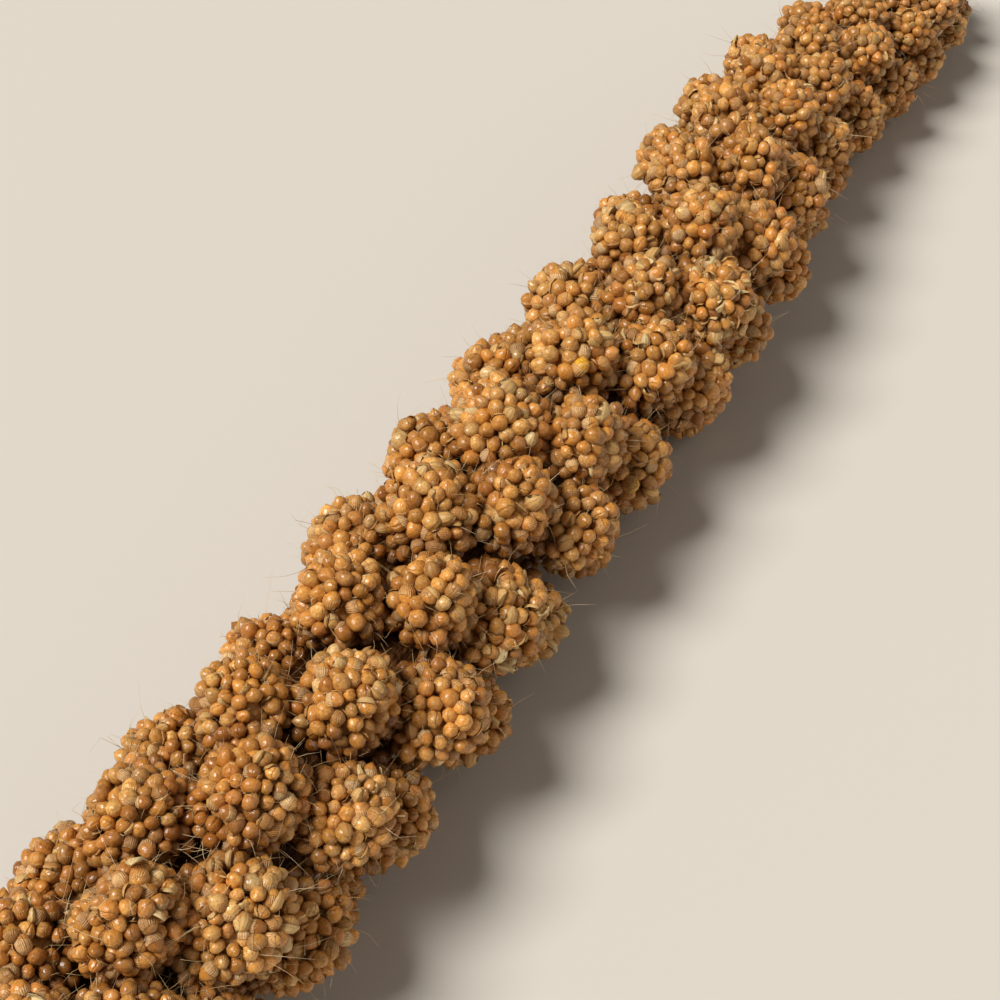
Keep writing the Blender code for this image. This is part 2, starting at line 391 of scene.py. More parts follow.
def mottled(tree, place, scales):
    return placeGroup(tree, dryMottle, Vector=place, Scale=scales[0], Fine=scales[1])


def ribbed(tree, around, count):
    return placeGroup(tree, ribs, Around=around, Count=count)["Rib"]


# A material with its shader, and what colours it: the place on the object, the ways around and along
# the copy from the wrapped UV, and the four values of the copy's look
def startMaterial(name):
    material = bpy.data.materials.new(name)
    material.use_nodes = True
    tree = material.node_tree
    shader = tree.nodes["Principled BSDF"]
    place = addNode(tree, "TexCoord").outputs["Object"]
    wrapped = addNode(tree, "UVMap", uv_map="wrapped").outputs["UV"]
    around, along = addNode(tree, "SeparateXYZ", {"Vector": wrapped}).outputs[:2]
    look = addNode(tree, "Attribute", attribute_name="look")
    parts = addNode(tree, "SeparateColor", {"Color": look.outputs["Color"]}).outputs
    given = {"place": place, "around": around, "along": along}
    given["look"] = (parts[0], parts[1], parts[2], look.outputs["Alpha"])
    return material, tree, shader, given


def finishSurface(tree, shader, colour, roughness, height, bump):
    strength, distance = bump
    feed(tree, shader.inputs["Base Color"], colour)
    feed(tree, shader.inputs["Roughness"], roughness)
    made = addNode(tree, "Bump", {"Height": height, "Strength": strength, "Distance": distance})
    feed(tree, shader.inputs["Normal"], made.outputs["Normal"])


# Some light goes through a hull and comes out warmer beside it
def letLightIn(shader, share, distance):
    shader.inputs["Subsurface Weight"].default_value = share
    shader.inputs["Subsurface Radius"].default_value = (1.0, 0.45, 0.15)
    shader.inputs["Subsurface Scale"].default_value = distance


# Grains

grain = {
    "halfWide": 0.00105,
    "thickShare": (0.86, 1.0),
    "longShare": (0.98, 1.12),
    "sizeSpread": (0.76, 1.08),
    "alongHead": (0.0, 0.050, 0.085, 0.170, 0.215),
    "sizeThere": (0.82, 0.83, 1.0, 0.98, 0.85),
    "spacing": 0.00163,
    "gap": 0.00162,        # neighbours are moved apart to this distance
    "sink": 0.00070,       # centres lie this far inside the clusters' skin
    "jitter": 0.18,
    "settling": 12,        # passes
    "unevenness": 0.085,   # of their depths, as a share of the cluster
    "levels": (-0.10, 0.07),     # the least and the most of that
    "lean": 0.55,          # of their axes from the cluster's skin
    "towardsTip": 0.12,    # the lean that they all share
    "dent": 0.055,
    "flatSide": 0.26,
    "taper": 0.24,         # of the most pointed ones' upper half
    "rows": (36, 74, 110, 146),  # degrees from the base pole
    "around": 7,
    "tipPoint": 0.20,      # how far their tops stand out
    "hidden": 0.90,        # left out where they lie this deep in another cluster
    "inward": -0.20,       # and where they face the stalk more than this, except at the open base
    "openBase": 0.012,
    "core": 0.42,          # share of the head's radius that has none
    "coreAtBase": 0.28,
    # Painted shade on grains that lie deep in a crevice or sunk towards the stalk:
    "crevice": (1.55, 0.5),      # shaded from this depth in the next cluster on, over this way
    "sunk": (0.82, 0.36),        # shaded from this share of the head's radius on, over this way
    "tipFree": 1.2,        # balls from the tip without such shade
    "creviceShade": 0.45,
    "tone": (0.47, 0.17),        # mean and spread
    "toneLimits": (0.02, 0.96),
    "clusterTone": 0.045,  # spread between clusters
    "hoodReach": (0.10, 0.78),   # of the way from base to tip
    "seed": 21,
    "ripest": [(0.0993, -0.0105, 0.0007), (0.1036, -0.0025, 0.0106)],  # the two bright yellow ones are here
}

sizeShare = np.interp(clusterCentre[:, 0], grain["alongHead"], grain["sizeThere"])


# How deep each point lies in each cluster, in that cluster's half sizes: under 1 is inside it
def clusterDepth(points, shrink):
    offset = points[:, None, :] - clusterCentre[None, :, :]
    local = np.einsum("pbc,bac->pba", offset, clusterAxes) / (clusterHalf - shrink)[None, :, :]
    return np.sqrt((local**2).sum(axis=2))


# Point k of n on a ball is at height 1 - (2k + 1) / n and turned by k golden angles; the ball is then turned
# at random and stretched to its cluster. Each point takes a hexagon, 0.866 times its spacing squared
def spreadOnClusters(spacing, sink, jitter, draw):
    points, owner = [], []
    for number, half in enumerate(clusterHalf):
        skin = half - sink
        count = int(4 * math.pi * skin.prod() ** (2 / 3) / (0.866 * spacing[number] ** 2))
        k = np.arange(count)
        height = 1 - (2 * k + 1) / count
        flat = np.sqrt(1 - height**2)
        unit = np.stack([flat * np.cos(k * goldenAngle), flat * np.sin(k * goldenAngle), height], 1)
        turned = unit @ np.linalg.qr(draw.normal(size=(3, 3)))[0]
        unit = unitRows(turned + draw.normal(0, jitter, (count, 3)))
        points.append(clusterCentre[number] + (unit * skin) @ clusterAxes[number])
        owner.append(np.full(count, number))
    return np.concatenate(points), np.concatenate(owner)


# Each point moves along its own cluster's spokes until it is at its level of the skin
def backToSkin(points, owner, level, sink):
    axes, skin = clusterAxes[owner], clusterHalf[owner] - sink
    local = np.einsum("pc,pac->pa", points - clusterCentre[owner], axes) / skin
    local *= (level / np.linalg.norm(local, axis=1))[:, None]
    return clusterCentre[owner] + np.einsum("pa,pac->pc", local * skin, axes)


# Every pair closer than its mean gap moves apart along its joining line, half of what is missing each
def pushApart(points, gap):
    order = np.argsort(points[:, 0])
    moved, gap = points[order], gap[order]
    for shift in range(1, len(moved)):
        apart = moved[shift:] - moved[:-shift]
        if apart[:, 0].min() > gap.max():
            break
        wanted = (gap[shift:] + gap[:-shift]) / 2
        distance = np.maximum(np.linalg.norm(apart, axis=1), 1e-6)
        push = apart * (np.clip(wanted - distance, 0.0, None) * 0.5 / distance)[:, None]
        moved[shift:] += push
        moved[:-shift] -= push
    result = np.empty_like(points)
    result[order] = moved
    return result


far = 9.0   # stands for a grain's depth in its own cluster where only the others count


# Points spread on the clusters settle: each pass drops the hidden ones, pushes near ones apart and draws all
# back to their own depth below the skin
def placeGrains():
    draw = np.random.default_rng(grain["seed"])
    points, owner = spreadOnClusters(grain["spacing"] * sizeShare, grain["sink"], grain["jitter"], draw)
    level = 1 + draw.normal(0, grain["unevenness"], len(points)).clip(*grain["levels"])
    points = backToSkin(points, owner, level, grain["sink"])
    for step in range(grain["settling"] + 1):
        depth = clusterDepth(points, grain["sink"])
        depth[np.arange(len(points)), owner] = far
        radius = np.hypot(points[:, 1], points[:, 2])
        normal = skinNormal(points, owner)
        facing = (normal[:, 1] * points[:, 1] + normal[:, 2] * points[:, 2]) / radius
        atBase = points[:, 0] < grain["openBase"]
        seen = (facing > grain["inward"]) | atBase
        seen &= radius > np.where(atBase, grain["coreAtBase"], grain["core"]) * headRadius(points[:, 0])
        seen |= points[:, 0] > head["length"] - cluster["tipBall"]
        seen &= depth.min(axis=1) > grain["hidden"]
        points, owner, level = points[seen], owner[seen], level[seen]
        if step < grain["settling"]:
            points = pushApart(points, grain["gap"] * sizeShare[owner])
            points = backToSkin(points, owner, level, grain["sink"])
    print("grains:", len(points))
    return points, owner, draw


# The cluster's ellipsoid's own normal: local place divided by the squared half sizes
def skinNormal(points, owner):
    axes = clusterAxes[owner]
    local = np.einsum("pc,pac->pa", points - clusterCentre[owner], axes) / clusterHalf[owner] ** 2
    return unitRows(np.einsum("pa,pac->pc", local, axes))


# An egg: its radius is the sine of the angle from the base pole, less towards its pointed top,
# with three shallow dents and one flatter side
def grainShape(count, draw):
    polar = np.radians(grain["rows"])[None, :, None]
    turn = evenTurns(grain["around"])[None, None, :]
    phase = draw.uniform(0, 2 * math.pi, (count, 1, 1))
    dent = draw.uniform(0, grain["dent"], (count, 1, 1))
    flat = draw.uniform(0, grain["flatSide"], (count, 1, 1))
    pointed = draw.uniform(0, 1, (count, 1, 1)) ** 2
    taper = 1 - grain["taper"] * pointed * np.clip(-np.cos(polar), 0.0, 1.0)
    radius = np.sin(polar) * taper * (1 + dent * np.cos(3 * turn + phase))
    radius = radius * (1 - flat * np.clip(np.cos(turn - phase), 0.0, 1.0) ** 2)
    height = -np.cos(polar) * np.ones_like(radius)
    local = np.stack([radius * np.cos(turn), radius * np.sin(turn), height], -1)
    poles = np.zeros((count, 2, 3))
    poles[:, 0, 2] = -1
    poles[:, 1, 2] = 1 + grain["tipPoint"] * pointed[:, 0, 0]
    return local, poles


hull = {
    "tones": [
        (0.00, (0.300, 0.116, 0.025)),
        (0.16, (0.550, 0.204, 0.031)),
        (0.36, (0.690, 0.298, 0.050)),
        (0.58, (0.780, 0.385, 0.088)),
        (0.80, (0.830, 0.480, 0.145)),
        (0.97, (0.880, 0.620, 0.270)),
        (1.00, (0.900, 0.500, 0.030)),
    ],
    "blush": (0.620, 0.260, 0.085),
    "base": (0.290, 0.085, 0.010),
    "hood": (0.670, 0.330, 0.085),
    "paleHood": (0.880, 0.650, 0.340),
    "hoodEdge": (0.840, 0.530, 0.205),
    "seam": (0.290, 0.088, 0.011),
    "apex": (0.180, 0.060, 0.012),
    # Painted shade: the dark brown that grains and their husks deep in a crevice or sunk towards the stalk
    # are mixed towards
    "deep": (0.150, 0.040, 0.004),
    "mottle": (1500.0, 4600.0),   # scales of blotches and specks, here and below
    "patches": 620.0,
    "veins": 24.0,
    "blushShare": 0.5,
    "brownBase": 0.65,
    "redHalf": 0.5,
    "seamShare": 0.3,
    "seamAt": 0.19,    # of the girth, from the middle of the narrow half
    "hoodShare": 0.85,
    "hoodWave": 0.13,
    "hoodTatter": 0.16,
    "vein": 0.36,
    "apexShare": 0.6,
    "speck": 0.46,
    "patch": 0.45,
    "pallor": 0.14,
    # How strongly that painted shade is mixed in
    "paintedShadeShare": 0.78,
    "light": (0.66, 1.12),
    "roughness": (0.24, 0.42),    # of the hull and of the hood
    "roughBlotch": 0.12,
    "bump": (0.8, 0.00013),       # strength and distance, here and below
    "specular": 0.55,
    "lightIn": (0.17, 0.0005),    # weight and distance
}


def makeGrainMaterial():
    material, tree, shader, given = startMaterial("grain hull")
    place, around, along = given["place"], given["around"], given["along"]
    tone, light, cover, deep = given["look"]
    mottle = mottled(tree, place, hull["mottle"])
    colour = colourRamp(tree, tone, hull["tones"])
    blush = fade(tree, reshuffled(tree, tone, 37.0), 0.75, 1.0, 0.0, hull["blushShare"])
    colour = mix(tree, blush, colour, hull["blush"])
    low = fade(tree, along, 0.62, 0.15, 0.0, hull["brownBase"])
    colour = mix(tree, low, colour, hull["base"])

    # The husk's seam runs up two sides of the grain, between a broad half and a narrower, often redder one
    across = maths(tree, "PINGPONG", around, 0.5)
    narrow = times(tree, fade(tree, across, 0.20, 0.17), fade(tree, along, 0.25, 0.45))
    redder = fade(tree, reshuffled(tree, light, 17.0), 0.45, 1.0, 0.0, hull["redHalf"])
    colour = mix(tree, times(tree, narrow, redder), colour, hull["tones"][1][1])
    fromSeam = maths(tree, "ABSOLUTE", maths(tree, "SUBTRACT", across, hull["seamAt"]))
    seam = times(tree, fade(tree, fromSeam, 0.035, 0.010), fade(tree, along, 0.30, 0.55))
    seam = times(tree, seam, fade(tree, reshuffled(tree, light, 29.0), 0.3, 0.9))
    colour = mix(tree, times(tree, seam, hull["seamShare"]), colour, hull["seam"])

    # The papery hood covers the lower part, with a wavy edge, and reaches higher on one side
    wave = times(tree, maths(tree, "COSINE", times(tree, around, 2 * math.pi)), hull["hoodWave"])
    tatter = times(tree, mottle["Height"], hull["hoodTatter"])
    edge = maths(tree, "ADD", maths(tree, "ADD", cover, wave), tatter)
    over = maths(tree, "SUBTRACT", edge, along)
    hood = fade(tree, over, 0.08, 0.115)
    rim = times(tree, hood, fade(tree, over, 0.19, 0.11))
    vein = ribbed(tree, around, hull["veins"])
    bleached = fade(tree, reshuffled(tree, light, 53.0), 0.30, 0.95)
    paper = mix(tree, bleached, hull["hood"], hull["paleHood"])
    paper = mix(tree, times(tree, vein, hull["vein"]), paper, hull["base"])
    paper = mix(tree, rim, paper, hull["hoodEdge"])
    colour = mix(tree, times(tree, hood, hull["hoodShare"]), colour, paper)

    # Dark top, specks, brown and pale patches, painted shade in the gaps, and lighter and darker grains
    apex = fade(tree, along, 0.965, 0.995, 0.0, hull["apexShare"])
    colour = mix(tree, apex, colour, hull["apex"])
    colour = mix(tree, times(tree, mottle["Speck"], hull["speck"]), colour, hull["seam"])
    patch = fade(tree, noise(tree, place, hull["patches"], 2.0, 1.2), 0.52, 0.68, 0.0, hull["patch"])
    colour = mix(tree, patch, colour, hull["base"])
    pallor = fade(tree, mottle["Blotch"], 0.0, 1.0, 0.0, hull["pallor"])
    colour = mix(tree, pallor, colour, hull["hoodEdge"])
    # Painted shade: darker by the fourth look value, where the grain lies deep in a crevice or sunk towards
    # the stalk
    colour = mix(tree, times(tree, deep, hull["paintedShadeShare"]), colour, hull["deep"])
    level = fade(tree, light, 0.0, 1.0, *hull["light"])
    grey = addNode(tree, "CombineColor", {"Red": level, "Green": level, "Blue": level}).outputs["Color"]
    colour = mix(tree, 1.0, colour, grey, "MULTIPLY")

    rough = fade(tree, hood, 0.0, 1.0, *hull["roughness"])
    rough = timesPlus(tree, mottle["Blotch"], hull["roughBlotch"], rough)
    height = timesPlus(tree, hood, 1.2, mottle["Height"])
    height = timesPlus(tree, seam, -0.9, height)
    height = timesPlus(tree, times(tree, vein, hood), -0.4, height)
    finishSurface(tree, shader, colour, rough, height, hull["bump"])
    shader.inputs["Specular IOR Level"].default_value = hull["specular"]
    letLightIn(shader, *hull["lightIn"])
    return material


# The head is split along its length, so that no piece is too heavy
zones = {
    "base": (-1.0, 0.038),
    "lower": (0.038, 0.078),
    "middle": (0.078, 0.130),
    "upper": (0.130, 0.180),
    "tip": (0.180, 1.0),
}

grainPoints, grainOwner, grainDraw = placeGrains()
grainPlace = carried(grainPoints)
grainNormal = skinNormal(grainPoints, grainOwner)
grainDepth = clusterDepth(grainPoints, 0.0)
grainDepth[np.arange(len(grainPoints)), grainOwner] = far
# Painted shade for each grain: from its depth in the next cluster, and from how far it is sunk towards the
# stalk, none near the tip
crevice = smoothStep((grain["crevice"][0] - grainDepth.min(axis=1)) / grain["crevice"][1])
shareOut = np.hypot(grainPoints[:, 1], grainPoints[:, 2]) / headRadius(grainPoints[:, 0])
sunkenShade = smoothStep((grain["sunk"][0] - shareOut) / grain["sunk"][1])
sunkenShade *= smoothStep((head["length"] - grainPoints[:, 0]) / cluster["tipBall"] - grain["tipFree"])


def addZones(name, centres, grid, ends, heights, material, look):
    for zone, (low, high) in zones.items():
        here = (centres[:, 0] >= low) & (centres[:, 0] < high)
        addPiece(name + zone, grid[here], ends[here], heights, material, look[here])


# An egg for each place: the unit egg times its own three half sizes. The draws also give its tone, its
# light and how far its hood reaches, and the place gives how much painted shade it gets
def makeGrains():
    draw = grainDraw
    count = len(grainPoints)
    axis = unitRows(grainNormal + draw.normal(0, grain["lean"], (count, 3)) + [grain["towardsTip"], 0.0, 0.0])
    wide = grain["halfWide"] * sizeShare[grainOwner] * draw.uniform(*grain["sizeSpread"], count)
    thick = wide * draw.uniform(*grain["thickShare"], count)
    long = wide * draw.uniform(*grain["longShare"], count)
    size = np.stack([wide, thick, long], 1)
    axes = framesAlong(axis, draw.uniform(0, 2 * math.pi, count))
    local, poles = grainShape(count, draw)
    grid, ends = placed(local * size[:, None, None, :], poles * size[:, None, :], axes, grainPlace)
    pressUp(grid, ends, np.minimum(grid[..., 2].min(axis=(1, 2)), ends[..., 2].min(axis=1)))

    meanTone, spread = grain["tone"]
    clusterTone = draw.normal(0, grain["clusterTone"], len(clusterCentre))
    tone = meanTone + clusterTone[grainOwner] + draw.normal(0, spread, count)
    tone = tone.clip(*grain["toneLimits"])
    for spot in grain["ripest"]:
        tone[np.linalg.norm(grainPoints - spot, axis=1).argmin()] = 1.0
    light = draw.uniform(0, 1, count)
    cover = draw.uniform(*grain["hoodReach"], count)
    # The fourth look value is the grain's painted shade
    look = np.stack([tone, light, cover, np.maximum(sunkenShade, grain["creviceShade"] * crevice)], 1)
    heights = (1 - np.cos(np.radians(grain["rows"]))) / 2
    addZones("grains_", grainPoints, grid, ends, heights, makeGrainMaterial(), look)
    return axes, size, look


grainAxes, grainSize, grainLook = makeGrains()


# Chaff: what shows between the grains, a rough brown ball inside every cluster

chaff = {
    "inset": 0.00125,      # from the cluster's skin
    "rough": 0.0625,       # spread of its radius
    "rows": 7,
    "around": 12,
    "seed": 5,
    "mottle": (900.0, 4000.0),
    "scales": 1400.0,
    # dark and pale: the sleeve's and branchlets' colour, a real brown mottling kept near black as painted
    # shade between the clusters
    "dark": (0.055, 0.017, 0.003),
    "pale": (0.125, 0.046, 0.010),
    "ball": (0.420, 0.170, 0.036),
    "scale": (0.640, 0.360, 0.120),
    "ballShare": 0.8,
    "bump": (0.8, 0.0003),
    "specular": 0.2,
}


def makeChaffMaterial():
    material, tree, shader, given = startMaterial("chaff")
    place = given["place"]
    mottle = mottled(tree, place, chaff["mottle"])
    # The sleeve and branchlets: real brown mottling, darkened to near black as painted shade between the
    # clusters
    colour = mix(tree, mottle["Blotch"], chaff["dark"], chaff["pale"])
    scales = addNode(tree, "TexVoronoi", {"Vector": place, "Scale": chaff["scales"]})
    shade = addNode(tree, "SeparateColor", {"Color": scales.outputs["Color"]}).outputs[0]
    ball = mix(tree, shade, chaff["ball"], chaff["scale"])
    colour = mix(tree, times(tree, given["look"][0], chaff["ballShare"]), colour, ball)
    rough = fade(tree, mottle["Speck"], 0.0, 1.0, 0.7, 0.9)
    height = timesPlus(tree, scales.outputs["Distance"], -1.5, mottle["Height"])
    finishSurface(tree, shader, colour, rough, height, chaff["bump"])
    shader.inputs["Specular IOR Level"].default_value = chaff["specular"]
    return material


# A globe of even rows for each cluster, with random radii, stretched to what lies under the cluster's grains
def makeChaff(draw, material):
    count, rows = len(clusterCentre), chaff["rows"]
    polar = (np.arange(1, rows + 1) * math.pi / (rows + 1))[None, :, None]
    turn = evenTurns(chaff["around"])[None, None, :]
    half = (clusterHalf - chaff["inset"])[:, None, None, :]
    rough = 1 + draw.normal(0, chaff["rough"], (count, rows, chaff["around"], 1))
    flat = np.sin(polar)
    unit = np.stack(np.broadcast_arrays(flat * np.cos(turn), flat * np.sin(turn), -np.cos(polar)), -1)
    ends = np.zeros((count, 2, 3))
    ends[:, 0, 2], ends[:, 1, 2] = -1, 1
    grid, ends = placed(unit * half * rough, ends * half[:, 0], clusterAxes, carried(clusterCentre))
    heights = np.arange(1, rows + 1) / (rows + 1)
    addPiece("cluster_chaff", grid, ends, heights, material, np.ones((count, 4)))


sleeve = {
    "share": 0.38,         # of the head's radius
    "start": 0.0016,       # its radius at the base
    "spread": 0.030,       # from there to its full radius
    "rough": 0.07,         # spread of its radius
    "first": 0.001,
    "lastShare": 0.97,     # of the head's length
    "rows": 180,
    "around": 24,
}


# The roots of all the branchlets: a sleeve round the stalk, a share of the head's radius with random dents
def makeRoots(draw, material):
    s = np.linspace(sleeve["first"], head["length"] * sleeve["lastShare"], sleeve["rows"])
    s, turn = np.broadcast_arrays(s[:, None], evenTurns(sleeve["around"])[None, :])
    uneven = 1 + draw.normal(0, sleeve["rough"], s.shape)
    wide = sleeve["share"] * headRadius(s) * uneven
    wide = sleeve["start"] + (wide - sleeve["start"]) * smoothStep(s / sleeve["spread"])
    grid = carried(ringPoint(s, -turn, wide))
    ends = grid[[0, -1]].mean(axis=1)[None]
    shares = s[:, 0] / head["length"]
    addPiece("branchlet_roots", grid[None], ends, shares, material, np.zeros((1, 4)))


branchlet = {
    "radius": 0.0006,
    "shares": (0.05, 0.35, 0.65, 0.95),  # of the way from the stalk to the cluster's middle
    "thinning": (1.3, 0.5),
    "behind": 0.003,       # they leave the stalk this much nearer the base
    "around": 6,
}


# A straight tube from the stalk to each cluster's middle, evenly thinner outwards
def makeBranchlets(material):
    count = len(clusterCentre)
    t = np.array(branchlet["shares"])[None, :, None, None]
    thick, thinning = branchlet["thinning"]
    foot = clusterCentre * [1.0, 0.0, 0.0] - [branchlet["behind"], 0.0, 0.0]
    reach = clusterCentre - foot
    circles = circlesRound(framesAlong(unitRows(reach), np.zeros(count)), evenTurns(branchlet["around"]))
    radius = branchlet["radius"] * (thick - thinning * t)
    grid = carried(foot[:, None, None, :] + reach[:, None, None, :] * t + circles[:, None] * radius)
    ends = grid[:, [0, -1]].mean(axis=2)
    addPiece("branchlets", grid, ends, t.ravel(), material, np.zeros((count, 4)))


chaffDraw = np.random.default_rng(chaff["seed"])
chaffMaterial = makeChaffMaterial()
makeChaff(chaffDraw, chaffMaterial)
makeRoots(chaffDraw, chaffMaterial)
makeBranchlets(chaffMaterial)


# Husks: thin papery scales that wrap a grain's side, or stand open where the grain has gone

husk = {
    "rows": (0.14, 0.40, 0.68, 0.90),
    "outer": (-1.0, -0.4, 0.4, 1.0),
    "inner": (0.4, -0.4),
    "thickness": 0.00006,
    "foot": 0.25,          # where it starts, in radians from the base pole
    "halfAngle": 1.10,     # half of its width, in radians of the grain's girth
    "widths": (0.7, 1.15),       # times that
    "share": 0.50,         # of the grains that wear one
    "openShare": 0.018,    # of the grains whose husks stand open
    "openEnds": 0.22,      # the same at the outer end of a husky cluster
    "outerEnd": (0.60, 0.20),    # from this share of the head's radius on, over this way
    "reach": ((2.0, 2.7), (1.3, 2.8)),  # radians, of the open ones and of the others, as below
    "opening": ((0.12, 0.55), (-0.02, 0.12)),
    "tone": ((0.55, 1.0), (0.1, 0.8)),
    "openLift": 0.00012,
    "lift": 0.00007,
    "openSize": (0.95, 1.2),
    "huskiest": {71: 0.75, 42: 0.60, 45: 0.35, 68: 0.20},  # clusters with more of them
    "seed": 33,
    "tones": [
        (0.0, (0.340, 0.150, 0.040)),
        (0.3, (0.560, 0.290, 0.085)),
        (0.6, (0.720, 0.430, 0.150)),
        (1.0, (0.860, 0.640, 0.320)),
    ],
    "base": (0.300, 0.115, 0.025),
    "mottle": (1800.0, 8000.0),
    "veins": 10.0,
    "bump": (0.5, 0.00006),
    "lightIn": (0.25, 0.0004),
}


# A leaf laid on the grain's egg: its azimuth runs over a width that swells and narrows from base to tip,
# its polar angle runs from the base to its reach, and the whole turns about the base when it opens
def huskShape(size, azimuth, reach, width, opening, lift):
    t = np.array(husk["rows"])[None, :, None]
    share = np.array(husk["outer"] + husk["inner"])[None, None, :]
    side = np.array([0, 1, 1, 0, -1, -1])[None, None, :, None]  # of the sheet: edge, outer or inner
    polar = husk["foot"] + t * reach[:, None, None]
    profile = np.sin(math.pi * t**0.8) ** 0.8  # widest a little below its middle
    turn = azimuth[:, None, None] + share * width[:, None, None] * profile / np.maximum(np.sin(polar), 0.45)
    half = size[:, None, None, :] + lift[:, None, None, None]
    flat, height = np.sin(polar), -np.cos(polar) + 0 * turn
    unit = np.stack([flat * np.cos(turn), flat * np.sin(turn), height], -1)
    grid = unit * (half + husk["thickness"] / 2 * side)
    end = husk["foot"] + np.stack([np.zeros(len(size)), reach], 1)
    turn = azimuth[:, None]
    ends = np.stack([np.sin(end) * np.cos(turn), np.sin(end) * np.sin(turn), -np.cos(end)], -1)
    ends = ends * (size + lift[:, None])[:, None, :]

    # Turned about the base towards its own side
    def opened(points):
        shape = (len(size),) + (1,) * (points.ndim - 2)
        out = np.stack([np.cos(azimuth), np.sin(azimuth), np.zeros(len(size))], -1).reshape(*shape, 3)
        up = points[..., 2:] + size[:, 2].reshape(*shape, 1)
        sideways = (points * out).sum(-1, keepdims=True)
        rest = points * [1.0, 1.0, 0.0] - out * sideways
        cos, sin = np.cos(opening).reshape(*shape, 1), np.sin(opening).reshape(*shape, 1)
        turned = rest + out * (sideways * cos + up * sin)
        height = up * cos - sideways * sin - size[:, 2].reshape(*shape, 1)
        return turned + height * np.array([0.0, 0.0, 1.0])

    return opened(grid), opened(ends)


def makeHuskMaterial():
    material, tree, shader, given = startMaterial("papery husk")
    along, look = given["along"], given["look"]
    mottle = mottled(tree, given["place"], husk["mottle"])
    colour = colourRamp(tree, look[0], husk["tones"])
    vein = ribbed(tree, given["around"], husk["veins"])
    colour = mix(tree, times(tree, vein, 0.30), colour, husk["base"])
    colour = mix(tree, fade(tree, along, 0.45, 0.0, 0.0, 0.7), colour, husk["base"])
    colour = mix(tree, times(tree, mottle["Speck"], 0.22), colour, husk["base"])
    # Painted shade: darkened like the grain it sits on, by the fourth look value
    colour = mix(tree, times(tree, look[3], 0.75), colour, hull["deep"])
    rough = fade(tree, mottle["Blotch"], 0.0, 1.0, 0.42, 0.62)
    height = timesPlus(tree, vein, 0.8, mottle["Height"])
    finishSurface(tree, shader, colour, rough, height, husk["bump"])
    letLightIn(shader, *husk["lightIn"])
    return material


# A leaf for half of the grains, and two facing leaves for each one whose husk stands open
def makeHusks():
    draw = np.random.default_rng(husk["seed"])
    count = len(grainPoints)
    endShare = husk["openEnds"] * draw.uniform(0.0, 1.0, len(clusterCentre)) ** 4
    for number, openShare in husk["huskiest"].items():
        endShare[number] = openShare
    outerEnd = smoothStep((shareOut - husk["outerEnd"][0]) / husk["outerEnd"][1])
    isOpen = draw.uniform(size=count) < husk["openShare"] + endShare[grainOwner] * outerEnd
    wears = (draw.uniform(size=count) < husk["share"]) & ~isOpen
    chosen = np.concatenate([np.nonzero(wears)[0], np.repeat(np.nonzero(isOpen)[0], 2)])
    standing = np.concatenate([np.zeros(wears.sum(), bool), np.ones(2 * isOpen.sum(), bool)])
    total = len(chosen)

    def drawEither(name):
        ifOpen, ifShut = [draw.uniform(*limits, total) for limits in husk[name]]
        return np.where(standing, ifOpen, ifShut)

    azimuth = draw.uniform(0, 2 * math.pi, total)
    pair = np.nonzero(standing)[0]
    azimuth[pair[1::2]] = azimuth[pair[0::2]] + math.pi
    reach = drawEither("reach")
    width = husk["halfAngle"] * draw.uniform(*husk["widths"], total)
    opening = drawEither("opening")
    lift = np.where(standing, husk["openLift"], draw.uniform(0.0, husk["lift"], total))
    size = grainSize[chosen] * np.where(standing, draw.uniform(*husk["openSize"], total), 1.0)[:, None]
    grid, ends = huskShape(size, azimuth, reach, width, opening, lift)
    grid, ends = placed(grid, ends, grainAxes[chosen], grainPlace[chosen])
    pressUp(grid, ends, grid[..., 2].min(axis=(1, 2)))
    tone = drawEither("tone")
    # The fourth look value is the grain's painted shade
    look = np.stack([tone, grainLook[chosen, 1], tone, grainLook[chosen, 3]], 1)
    addZones("husks_", grainPoints[chosen], grid, ends, husk["rows"], makeHuskMaterial(), look)


makeHusks()


# Bristles: thin awns from between the grains, curved or with a sharp elbow

bristle = {
    "perCluster": 40,
    "onTop": 0.6,          # share of those that stand on the open skin, against one in the gaps
    "outwards": 0.9,
    "scatter": 0.45,
    "towardsTip": 0.25,
    "radius": 0.000033,
    "taper": 0.7,
    "clearance": 0.00006,  # from the floor
    "length": (0.0013, 0.0042),
    "rows": np.array([0.0, 0.3, 0.6, 1.0]),
    "elbowShare": 0.22,
    "elbowAt": 0.6,
    "elbowBack": (-0.5, 0.4),
    "bend": 0.55,
    "stray": 0.0006,       # of their roots from a grain's middle
    "margin": 0.0004,      # they may pass the solids' box by this much
    "seed": 44,
    "tones": [
        (0.0, (0.480, 0.290, 0.120)),
        (0.5, (0.760, 0.540, 0.260)),
        (1.0, (0.900, 0.760, 0.480)),
    ],
    "mottle": (3000.0, 9000.0),
    "bump": (0.2, 0.00002),
}


